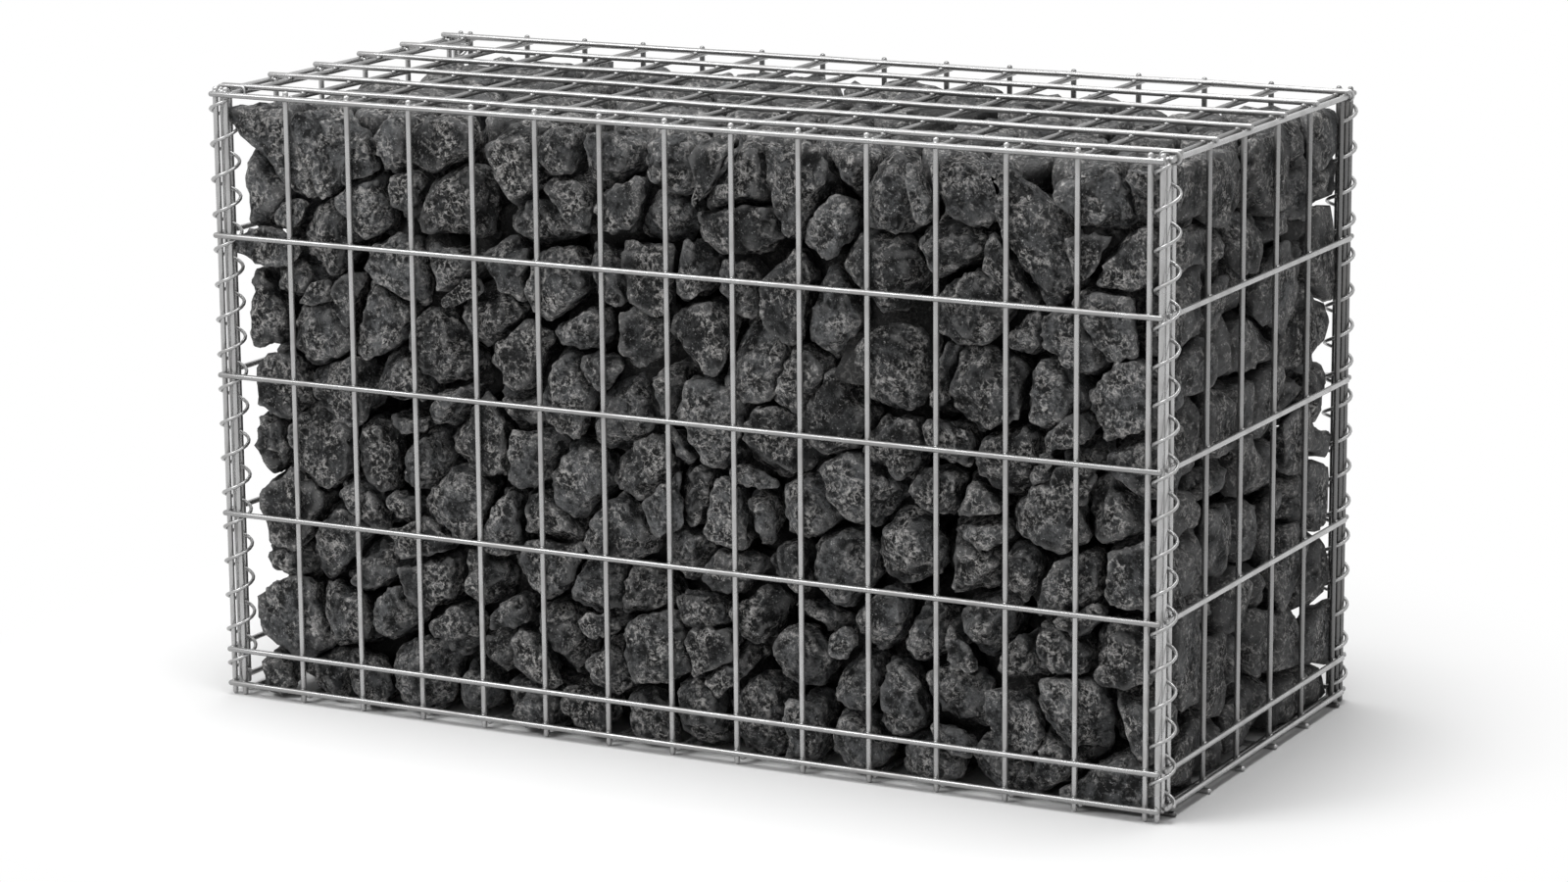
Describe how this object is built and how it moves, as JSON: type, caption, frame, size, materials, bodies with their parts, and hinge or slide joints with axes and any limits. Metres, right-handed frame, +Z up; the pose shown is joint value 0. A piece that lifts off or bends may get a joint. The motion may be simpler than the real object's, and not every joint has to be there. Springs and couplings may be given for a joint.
{
  "type": "gabion wall",
  "caption": "Welded wire mesh basket filled with broken dark stone, laced at its corners with wire spirals, one bay of a retaining or garden wall.",
  "frame": {"origin": "on the ground under the middle of the basket", "axes": "+X along the wall, front faces -Y, +Z up"},
  "size_m": [0.741, 0.3412, 0.4398],
  "materials": {
    "mesh_wire": "hot-dip galvanised wire, dull silver grey",
    "spiral_wire": "galvanised wire, a little brighter",
    "stone": "rough broken basalt, dark grey with pale veins and flecks"
  },
  "bodies": {
    "root": {"front_mesh": "mesh_wire", "back_mesh": "mesh_wire", "left_mesh": "mesh_wire", "right_mesh": "mesh_wire", "lid_mesh": "mesh_wire", "base_mesh": "mesh_wire", "corner_spiral_front_left": "spiral_wire", "corner_spiral_front_right": "spiral_wire", "corner_spiral_back_left": "spiral_wire", "corner_spiral_back_right": "spiral_wire", "lid_ring_front_left": "spiral_wire", "lid_ring_front_right": "spiral_wire", "lid_ring_back_left": "spiral_wire", "lid_ring_back_right": "spiral_wire", "stone_course_1": "stone", "stone_course_2": "stone", "stone_course_3": "stone", "stone_course_4": "stone", "stone_course_5": "stone", "stone_course_6": "stone", "stone_course_7": "stone"}
  },
  "joints": []
}
